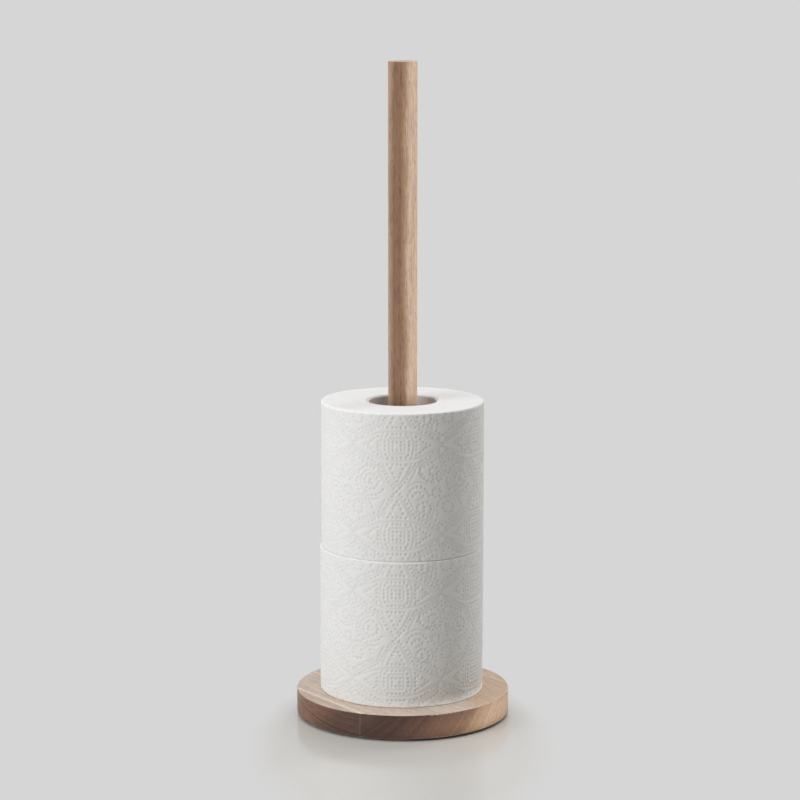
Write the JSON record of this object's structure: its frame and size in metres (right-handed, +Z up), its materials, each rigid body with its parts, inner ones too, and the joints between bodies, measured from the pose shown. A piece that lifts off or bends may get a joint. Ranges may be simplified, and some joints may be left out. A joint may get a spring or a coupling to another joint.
{
  "type": "toilet roll storage holder",
  "caption": "Round wooden base with an upright wooden rod that holds a stack of toilet rolls, shown with rolls on it.",
  "frame": {"origin": "on the floor, under the middle of the round base and the rod's axis", "axes": "+Z up along the rod; the front of the picture's view is towards -Y, +X is to its right"},
  "size_m": [0.141, 0.141, 0.4325],
  "materials": {
    "base_wood": "satin",
    "rod_wood": "satin",
    "tissue": "matte",
    "core_board": "matte",
    "foot_rubber": "matte",
    "insert_brass": "satin",
    "plated_steel": "satin"
  },
  "bodies": {
    "holder": {"stave_left": "base_wood", "stave_mid_left": "base_wood", "stave_mid_right": "base_wood", "stave_right": "base_wood", "rod": "rod_wood", "insert": "insert_brass", "screw": "plated_steel", "washer": "plated_steel", "foot_1": "foot_rubber", "foot_2": "foot_rubber", "foot_3": "foot_rubber", "foot_4": "foot_rubber"},
    "lower_roll": {"lower_core": "core_board", "lower_paper": "tissue"},
    "upper_roll": {"upper_core": "core_board", "upper_paper": "tissue"}
  },
  "joints": [
    {"name": "lower_roll_lift", "type": "slide", "parent": "holder", "child": "lower_roll", "axis": [0, 0, 1], "range_m": [0, 0.42]},
    {"name": "upper_roll_lift", "type": "slide", "parent": "lower_roll", "child": "upper_roll", "axis": [0, 0, 1], "range_m": [0, 0.32]}
  ]
}
